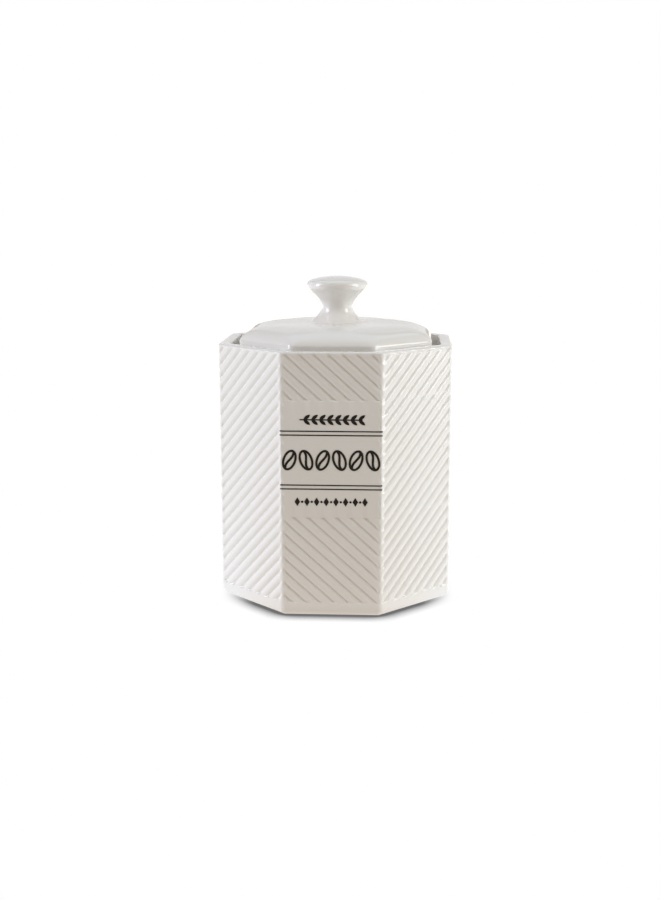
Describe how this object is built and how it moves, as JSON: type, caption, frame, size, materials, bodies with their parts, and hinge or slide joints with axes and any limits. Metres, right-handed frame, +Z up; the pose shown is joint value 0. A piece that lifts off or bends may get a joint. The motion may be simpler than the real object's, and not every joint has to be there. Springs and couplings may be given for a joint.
{
  "type": "lidded canister",
  "caption": "Octagonal glazed ceramic storage canister with diagonally ribbed panels, a plain label field and a lift-off lid with a turned knob and silicone seal.",
  "frame": {"origin": "centre of the foot, on the plane that the canister stands on", "axes": "+Z up along the canister's axis, -Y towards the viewer of the label panel, +X to the right of the label"},
  "size_m": [0.1154, 0.1155, 0.1602],
  "materials": {
    "body_glaze": "warm white gloss glaze, thin on the rib crests and pooled in the grooves",
    "lid_glaze": "warm white gloss glaze",
    "knob_glaze": "warm white gloss glaze",
    "seal_silicone": "translucent white silicone, satin",
    "print_enamel": "charcoal fired print, satin, a few hundredths of a millimetre proud"
  },
  "bodies": {
    "canister": {"canister_body": "body_glaze", "label_print": "print_enamel"},
    "lid": {"lid": "lid_glaze", "knob": "knob_glaze", "seal_ring": "seal_silicone"}
  },
  "joints": [
    {"name": "lid_lift", "type": "slide", "parent": "canister", "child": "lid", "axis": [0, 0, 1], "range_m": [0, 0.08]}
  ]
}
